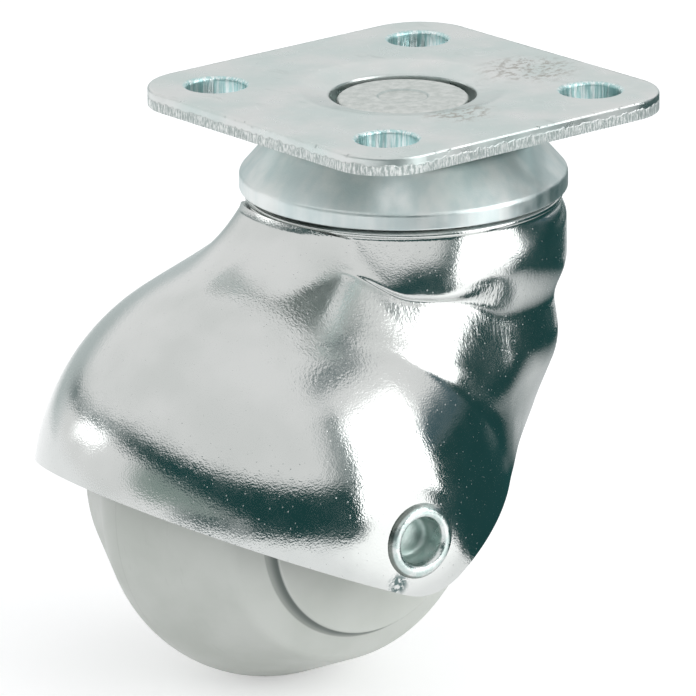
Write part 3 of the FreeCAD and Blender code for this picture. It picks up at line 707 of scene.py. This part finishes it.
def hood_distance(spots):
    """Distance of spots from the hood's outer skin, positive outside."""
    x, y, z = spots[..., 0], spots[..., 1], spots[..., 2]
    radius = np.hypot(x, y)
    from_rear = angle_from_rear(x, y)
    crease = crease_height(x, y)

    dome = np.linalg.norm(spots - DOME_CENTRE, axis=-1) - DOME_RADIUS
    dome = soft_share(dome, np.abs(y) - EAR_FACE, EAR_EDGE)

    flare = SHOULDER_FLARE + BELL_FLARE * until(from_rear, FLARE_END)
    waist = SHOULDER_WAIST + BELL_WAIST * until(from_rear, WAIST_END)
    girth = SHOULDER_RADIUS + BELL_GIRTH * until(from_rear, GIRTH_END)
    above = (radius - waist - flare * (crease - z)) / np.hypot(1, flare)
    below = (radius - girth - SHOULDER_TAPER * (z - SHOULDER_HEIGHT)) / math.hypot(1, SHOULDER_TAPER)
    shoulder = soft_share(above, below, SHOULDER_EDGE)

    cone = until(from_rear, CONE_END)
    flare_length = NECK_FLARE + NECK_BELL_LENGTH * until(from_rear, BELL_LENGTH_END) + NECK_CONE_LENGTH * cone
    flare_share = np.clip((NECK_TOP - z) / flare_length, 0, 1)
    neck_flare = NECK_RADIUS - NECK_NOTCH + NECK_BELL * until(from_rear, BELL_END) + NECK_CONE * cone
    neck_radius = NECK_NOTCH + neck_flare * np.sin(flare_share * math.pi / 2)
    below_crease = (crease - z) * math.cos(CREASE_TILT)
    neck = soft_share(radius - neck_radius, below_crease, round_the_axis(from_rear, *NECK_EDGE))

    skin = soft_join(dome, shoulder, round_the_axis(from_rear, *DOME_HOLLOW))
    skin = soft_join(skin, neck, round_the_axis(from_rear, *NECK_HOLLOW))
    groove = ease(from_rear, *GROOVE_START) * until(from_rear, GROOVE_END)
    groove = groove * np.exp(-((z - crease) / CREASE_GROOVE_HALF) ** 2)
    return skin + CREASE_GROOVE * groove


def rim_distance(spots):
    """Height of spots over the hood's lower edge, measured square to it."""
    x = spots[..., 0] - AXLE[0]
    z = spots[..., 2] - AXLE[2]
    tail = x * math.sin(RIM_TAIL_TILT) + z * math.cos(RIM_TAIL_TILT) + RIM_TAIL_DROP
    front = -x * math.sin(RIM_FRONT_TILT) + z * math.cos(RIM_FRONT_TILT) + RIM_FRONT_DROP
    return soft_join(tail, front, RIM_BEND)


def press_out(turn, rise):
    """Spots on the skin, seen from the hood's heart at an angle round it and a rise above it."""
    level = np.cos(rise)
    ways = np.stack((np.cos(turn) * level, np.sin(turn) * level, np.sin(rise)), axis=-1)
    reach = np.full(turn.shape, PRESS_START)
    for _ in range(PRESS_STEPS):
        reach = reach - PRESS_SHARE * hood_distance(HOOD_HEART + ways * reach[..., None])
    return HOOD_HEART + ways * reach[..., None]


def ring_reach(turn, radius):
    """Level distance from the heart, at an angle round it, to a circle about the swivel axis."""
    along = HOOD_HEART[0] * np.cos(turn)
    return -along + np.sqrt(along * along - HOOD_HEART[0] ** 2 + radius * radius)


def rim_rise(turn):
    """Rise at which the skin meets the hood's lower edge."""
    high, low = (np.full(turn.shape, limit) for limit in RIM_RANGE)
    for _ in range(RIM_HALVINGS):
        middle = (high + low) / 2
        over = rim_distance(press_out(turn, middle)) > 0
        high = np.where(over, middle, high)
        low = np.where(over, low, middle)
    return (high + low) / 2


def hood_spots(turn, row):
    """Where each vertex of the turned blank ends up: column by its angle, row by its number."""
    collar_rows = len(COLLAR_PROFILE)
    columns = np.unique(np.round(turn, 6), return_inverse=True)[1]
    angle = np.zeros(columns.max() + 1)
    angle[columns] = turn
    neck_reach = ring_reach(angle, NECK_RADIUS)
    neck_x = HOOD_HEART[0] + neck_reach * np.cos(angle)
    neck_y = neck_reach * np.sin(angle)
    collar_radius, collar_height = (np.array(values) for values in zip(*COLLAR_PROFILE))
    crease_over_heart = crease_height(neck_x, neck_y) - HOOD_HEART[2]
    guides = [
        np.arctan2(collar_height[-1] - HOOD_HEART[2], ring_reach(angle, collar_radius[-1])),
        np.arctan2(crease_over_heart + CREASE_ABOVE, neck_reach),
        np.arctan2(crease_over_heart - CREASE_BELOW, ring_reach(angle, NECK_RADIUS - CREASE_INSET)),
        rim_rise(angle),
    ]
    counts = [0, NECK_ROWS, NECK_ROWS + CREASE_ROWS, NECK_ROWS + CREASE_ROWS + DOME_ROWS]
    cast_row = np.clip(row - (collar_rows - 1), 0, None)
    rise = np.zeros(len(turn))
    for first, last, upper, lower in zip(counts, counts[1:], guides, guides[1:]):
        inside = (cast_row > first - 0.5) & (cast_row < last + 0.5)
        share = (cast_row - first) / (last - first)
        rise = np.where(inside, upper[columns] + share * (lower - upper)[columns], rise)
    spots = press_out(turn, rise)
    ring = np.clip(np.round(row).astype(int), 0, collar_rows - 1)
    swing = np.arctan2(neck_y, neck_x)[columns]
    turned = np.stack((collar_radius[ring] * np.cos(swing), collar_radius[ring] * np.sin(swing),
                       collar_height[ring]), axis=-1)
    return np.where((row < collar_rows - 0.5)[:, None], turned, spots)


def settle(grown, name, material, body, replaced):
    """Makes a bmesh in millimetres, before the rest turn, a piece on a body in place of CAD nodes."""
    bmesh.ops.recalc_face_normals(grown, faces=grown.faces)
    bmesh.ops.scale(grown, verts=grown.verts, vec=(MM, MM, MM))
    bmesh.ops.rotate(grown, verts=grown.verts, cent=(0, 0, 0), matrix=Matrix.Rotation(REST_TURN, 3, "Z"))
    mesh = bpy.data.meshes.new(name)
    grown.to_mesh(mesh)
    grown.free()
    mesh.shade_smooth()
    mesh.materials.append(material)
    piece = bpy.data.objects.new(name, mesh)
    scene.collection.objects.link(piece)
    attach(piece, body)
    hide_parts(*replaced)
    return piece


def over_axle_hole(face):
    """Whether a face of the skin lies over one of the two holes for the axle."""
    middle = face.calc_center_median()
    return math.hypot(middle.x - AXLE[0], middle.z - AXLE[2]) < AXLE_HOLE and abs(middle.y) > EAR_INSIDE


def make_hood(material):
    """A turned blank pressed into neck, shoulder and dome, pierced for the axle and given its sheet."""
    grown = bmesh.new()
    rows = len(COLLAR_PROFILE) + NECK_ROWS + CREASE_ROWS + DOME_ROWS
    line = [grown.verts.new((1, 0, -row)) for row in range(rows)]
    edges = [grown.edges.new(pair) for pair in zip(line, line[1:])]
    bmesh.ops.spin(grown, geom=line + edges, cent=(0, 0, 0), axis=(0, 0, 1), angle=math.tau,
                   steps=HOOD_COLUMNS, use_merge=True)
    blank = np.array([vertex.co for vertex in grown.verts])
    spots = hood_spots(np.arctan2(blank[:, 1], blank[:, 0]), -blank[:, 2])
    for vertex, spot in zip(grown.verts, spots):
        vertex.co = spot
    hole = [face for face in grown.faces if over_axle_hole(face)]
    bmesh.ops.delete(grown, geom=hole, context="FACES")
    piece = settle(grown, "pressed_hood", material, "yoke", ["hood"])
    wall = piece.modifiers.new("sheet", "SOLIDIFY")
    wall.thickness = SHEET * MM
    wall.offset = -1
    edge = piece.modifiers.new("eased_edge", "BEVEL")
    edge.width = SHEET_EDGE * MM
    edge.segments = 2
    edge.limit_method = "ANGLE"
    edge.angle_limit = SHARP_CORNER
    edge.harden_normals = True


# Rolled end of the axle rivet: distance from the axle and distance out along it, in millimetres
RIVET_PROFILE = [(0.0, 22.85), (0.8, 22.80), (1.5, 22.66), (2.0, 22.42), (2.3, 22.66), (2.42, 23.1),
                 (2.46, 24.2), (2.50, 24.75), (2.60, 25.14), (2.78, 25.37), (3.02, 25.45), (3.34, 25.44),
                 (3.56, 25.36), (3.70, 25.22), (3.88, 25.10), (4.0, 24.98), (4.02, 24.84), (3.9, 24.70),
                 (3.1, 24.70), (3.1, 20.0), (3.1, 12.0), (3.1, 4.0), (3.1, 0.0)]
RIVET_STEPS = 96
RIVET_MERGE = 1e-4


def make_rivet(material):
    """A semi-tubular rivet turned about the axle, both hollow ends rolled outwards."""
    grown = bmesh.new()
    near = [(radius, -out) for radius, out in RIVET_PROFILE]
    far = [(radius, out) for radius, out in reversed(RIVET_PROFILE[:-1])]
    line = [grown.verts.new((AXLE[0] + radius, out, AXLE[2])) for radius, out in near + far]
    edges = [grown.edges.new(pair) for pair in zip(line, line[1:])]
    bmesh.ops.spin(grown, geom=line + edges, cent=AXLE, axis=(0, 1, 0), angle=math.tau,
                   steps=RIVET_STEPS, use_merge=True)
    bmesh.ops.remove_doubles(grown, verts=grown.verts, dist=RIVET_MERGE)
    settle(grown, "rolled_rivet", material, "yoke", ["axle_rivet"])


# Studio, in metres: the spot that cloths hang round, their distance, and how far papers lie over the floor
TARGET = Vector((-8 * MM, 0, -32 * MM))
CLOTH_DISTANCE = 0.9
PAPER_LIFT = 0.3 * MM
FLOOR_HEIGHT = cad_box[0].z
FLOOR_HALF = 3.0
FLOOR_PALE = (0.80, 0.80, 0.80, 1)
FLOOR_GLOW = 0.42
AIR_PALE = (0.80, 0.81, 0.82, 1)
WHITE = (1.0, 1.0, 1.0, 1)
SOFTBOX_WIDTH = 0.80
SOFTBOX_HEIGHT = 1.05
SOFTBOX_POWER = 5.0
SOFTBOX_AZIMUTH = math.radians(24.5)
SOFTBOX_ELEVATION = math.radians(14.8)


def white_to_camera(tree):
    """One where the ray is the camera's or a mirror's, so the pale studio shows alike in both."""
    path = add_node(tree, "LightPath").outputs
    seen = plus(tree, path["Is Camera Ray"], path["Is Glossy Ray"], path["Is Transmission Ray"])
    return math_node(tree, "MINIMUM", seen, 1.0)


def make_world():
    world = bpy.data.worlds.new("studio_air")
    world.use_nodes = True
    scene.world = world
    tree = world.node_tree
    tree.nodes.clear()
    colour = blend_colour(tree, white_to_camera(tree), AIR_PALE, WHITE)
    air = add_node(tree, "Background", {"Color": colour, "Strength": 1.0})
    add_node(tree, "OutputWorld", {"Surface": air.outputs[0]})


def link_stage(name, mesh_builder, material):
    """A stage object from a function that fills a bmesh."""
    grown = bmesh.new()
    mesh_builder(grown)
    mesh = bpy.data.meshes.new(name)
    grown.to_mesh(mesh)
    grown.free()
    mesh.materials.append(material)
    stage = bpy.data.objects.new(name, mesh)
    scene.collection.objects.link(stage)
    return stage


def make_floor():
    made, tree = new_material("floor_paper")
    diffuse = add_node(tree, "BsdfDiffuse", {"Color": FLOOR_PALE})
    strength = times(tree, white_to_camera(tree), FLOOR_GLOW)
    glow = add_node(tree, "Emission", {"Color": WHITE, "Strength": strength})
    both = add_node(tree, "AddShader", {0: diffuse.outputs[0], 1: glow.outputs[0]})
    finish_material(tree, both.outputs[0])

    def sheet(grown):
        bmesh.ops.create_grid(grown, x_segments=1, y_segments=1, size=FLOOR_HALF)
        bmesh.ops.translate(grown, verts=grown.verts, vec=(0, 0, FLOOR_HEIGHT))

    link_stage("studio_floor", sheet, made)


def make_softbox():
    light = bpy.data.lights.new("softbox", "AREA")
    light.shape = "RECTANGLE"
    light.size = SOFTBOX_WIDTH
    light.size_y = SOFTBOX_HEIGHT
    light.energy = SOFTBOX_POWER
    lamp = bpy.data.objects.new("softbox", light)
    scene.collection.objects.link(lamp)
    away = heading(SOFTBOX_AZIMUTH, SOFTBOX_ELEVATION)
    lamp.matrix_world = Matrix.Translation(TARGET + away) @ away.to_track_quat("Z", "Y").to_matrix().to_4x4()


# What the bright metal mirrors
DARK_CLOTH = (0.018, 0.072, 0.072, 1)
DIM_CLOTH = (0.13, 0.19, 0.19, 1)
HAZE_CLOTH = (0.055, 0.12, 0.14, 1)
GREY_CLOTH = (0.07, 0.13, 0.135, 1)
PALE_CLOTH = (0.58, 0.64, 0.64, 1)
SKIRT_CLOTH = (0.29, 0.37, 0.34, 1)
WHITE_CARD = (1.7, 1.7, 1.7, 1)
BRIGHT_CARD = (2.6, 2.6, 2.6, 1)
# Hung cloths: colour, thinning edge in degrees, metres behind, then azimuth, lowest, highest and density
HUNG_CLOTHS = [
    ("left_cloth", DARK_CLOTH, 2.5, 0.0, [
        (-132, 18.5, 23, 0.8), (-120, 17.5, 25), (-105, 16.5, 26), (-90, 13.5, 25.5), (-75, 9.5, 23.5),
        (-60, 3.5, 21.5), (-45, -3, 19), (-30, -3, 16.5), (-15, -3, 15.5), (2.5, -3, 15)]),
    ("skirt_cloth", SKIRT_CLOTH, 2.5, 0.01, [
        (-118, 8, 14, 0), (-106, 4.5, 16, 0.9), (-96, 3.5, 15), (-85, 3.5, 12), (-75, 3, 9.5),
        (-66, 1.5, 6, 0.8), (-56, -1, 2, 0)]),
    ("hem_cloth", DARK_CLOTH, 2, -0.01, [
        (-92, 0.5, 3.5, 0), (-84, -1.5, 3, 0.8), (-74, -2.5, 2.5), (-62, -3, 2), (-50, -3, 1, 0)]),
    ("tail_cloth", DIM_CLOTH, 1.5, 0.0, [
        (-184, 2, 6, 0.4), (-176, 4, 9, 0.9), (-165, 8, 11.5), (-150, 13, 16.5), (-140, 16, 20),
        (-128, 18.5, 23)]),
    ("tail_card", BRIGHT_CARD, 2.5, 0.0, [
        (-161, 4, 8, 0), (-152, 7.5, 11.5), (-142, 9.5, 14.5), (-131, 13, 17, 0)]),
    ("strip_cloth", DIM_CLOTH, 4, 0.01, [
        (-14, 12, 44, 0), (-6, 12, 47, 0.6), (-1, 12, 48, 0.9), (4, 12, 48)]),
    ("high_cloth", GREY_CLOTH, 6, 0.02, [
        (-8, 55, 62, 0.4), (6, 57, 66), (28, 58, 67), (46, 55, 63), (62, 51, 58, 0.2)]),
    ("back_cloth", PALE_CLOTH, 7, 0.03, [
        (88, -4, 6, 0), (105, -4, 12), (140, -4, 15), (175, -4, 12), (192, -4, 6, 0)]),
    ("right_cloth", DARK_CLOTH, 2.5, 0.0, [
        (45, -3, 12), (52, -3, 14), (65, -3, 14), (80, -3, 12), (92, -3, 8), (105, -3, 2), (122, -3, -2)]),
    ("haze_cloth", HAZE_CLOTH, 5, 0.01, [
        (45, 11, 23), (55, 13, 26), (65, 13, 25), (78, 11, 22), (92, 7, 13), (105, 1, 4)]),
]
# Laid papers: colour, share of near reach that thins out, then azimuth, near and far reach and density
LAID_PAPERS = [
    ("left_paper", DARK_CLOTH, 0.15, [
        (-85, 0.60, 0.95, 0), (-65, 0.40, 0.95, 0.8), (-45, 0.24, 0.95), (-30, 0.18, 0.95),
        (-15, 0.15, 0.95), (2.5, 0.14, 0.95)]),
    ("right_paper", DARK_CLOTH, 0.6, [
        (30, 0.10, 0.14), (36, 0.11, 0.95), (50, 0.09, 0.95), (60, 0.076, 0.95), (72, 0.070, 0.95),
        (84, 0.068, 0.95), (92, 0.065, 0.95), (105, 0.07, 0.95), (124, 0.08, 0.95)]),
    ("front_card", WHITE_CARD, 0.25, [
        (-26, 0.085, 0.13, 0), (-13, 0.07, 0.125, 0.7), (-2, 0.06, 0.12, 0.9), (2.5, 0.058, 0.12),
        (3, 0.058, 0.8), (24, 0.052, 0.8), (30, 0.046, 0.5, 0.6), (32, 0.044, 0.3, 0)]),
    ("back_paper", PALE_CLOTH, 0.4, [
        (88, 0.3, 0.95, 0), (105, 0.24, 0.95), (140, 0.2, 0.95), (175, 0.24, 0.95), (192, 0.3, 0.95, 0)]),
]
# A low dark card by the hood's right flank: spots and tops in millimetres, shares of height with density
KERB_LINE = [(8, 0, -42), (13, -11, -38), (16, -19, -36), (22, -34, -38), (30, -60, -40), (34, -90, -40)]
KERB_RISE = [(0.02, 1), (0.8, 1), (1.0, 0)]


def make_cloth(name, lines, colour):
    """A studio cloth strung along lines of spots with densities, seen only in reflections."""
    made, tree = new_material(name)
    glow = add_node(tree, "Emission", {"Color": colour, "Strength": 1.0})
    gap = add_node(tree, "BsdfTransparent")
    dense = add_node(tree, "Attribute", attribute_name="dense").outputs["Fac"]
    mixed = add_node(tree, "MixShader", {0: dense, 1: gap.outputs[0], 2: glow.outputs[0]})
    finish_material(tree, mixed.outputs[0])

    def hang(grown):
        density = grown.verts.layers.float.new("dense")
        strung = []
        for line in lines:
            spots = []
            for spot, dense_there in line:
                spots.append(grown.verts.new(spot))
                spots[-1][density] = dense_there
            strung.append([grown.edges.new(pair) for pair in zip(spots, spots[1:])])
        for upper, lower in zip(strung, strung[1:]):
            bmesh.ops.bridge_loops(grown, edges=upper + lower)

    cloth = link_stage(name, hang, made)
    cloth.visible_camera = False
    cloth.visible_diffuse = False
    cloth.visible_shadow = False


def density_of(station):
    """Density of a cloth at a station, which is one where none is given."""
    return station[3] if len(station) > 3 else 1


def hang_cloth(name, colour, fade, behind, stations):
    """A cloth on a ball round the object, thinning out over its lower and upper edge."""
    lines = []
    for edge, outside, share in ((1, -fade / 2, 0), (1, fade / 2, 1), (2, -fade / 2, 1), (2, fade / 2, 0)):
        line = []
        for station in stations:
            way = heading(math.radians(station[0]), math.radians(station[edge] + outside))
            line.append((TARGET + way * (CLOTH_DISTANCE + behind), share * density_of(station)))
        lines.append(line)
    make_cloth(name, lines, colour)


def lay_paper(name, colour, fade, stations):
    """A paper on the floor, thinning out towards the object."""
    foot = Vector((0, 0, FLOOR_HEIGHT + PAPER_LIFT))
    lines = []
    for edge, stretched, share in ((1, 1 - fade, 0), (1, 1 + fade, 1), (2, 1, 1)):
        line = []
        for station in stations:
            way = heading(math.radians(station[0]), 0)
            line.append((foot + way * station[edge] * stretched, share * density_of(station)))
        lines.append(line)
    make_cloth(name, lines, colour)


def stand_kerb():
    """A low card whose top thins out."""
    lines = []
    for share_up, dense_there in KERB_RISE:
        line = []
        for x, y, top in KERB_LINE:
            height = FLOOR_HEIGHT + share_up * (top * MM - FLOOR_HEIGHT)
            line.append((Vector((x * MM, y * MM, height)), dense_there))
        lines.append(line)
    make_cloth("kerb_card", lines, DARK_CLOTH)


make_camera()
make_world()
make_floor()
make_softbox()
for cloth in HUNG_CLOTHS:
    hang_cloth(*cloth)
for paper in LAID_PAPERS:
    lay_paper(*paper)
stand_kerb()

make_hood(make_hood_plating())
make_rivet(make_rivet_steel())
dish_steel = make_dish_steel()
ball_steel = make_ball_steel()
for piece, finish in (("mounting_plate", make_plate_steel()), ("swivel_dish", dish_steel),
                      ("lower_race_cup", dish_steel), ("kingpin", make_pin_steel()),
                      ("upper_balls", ball_steel), ("lower_balls", ball_steel), ("axle_sleeve", ball_steel),
                      ("wheel", make_wheel_plastic())):
    dress(piece, finish)

scene.view_settings.view_transform = "Standard"
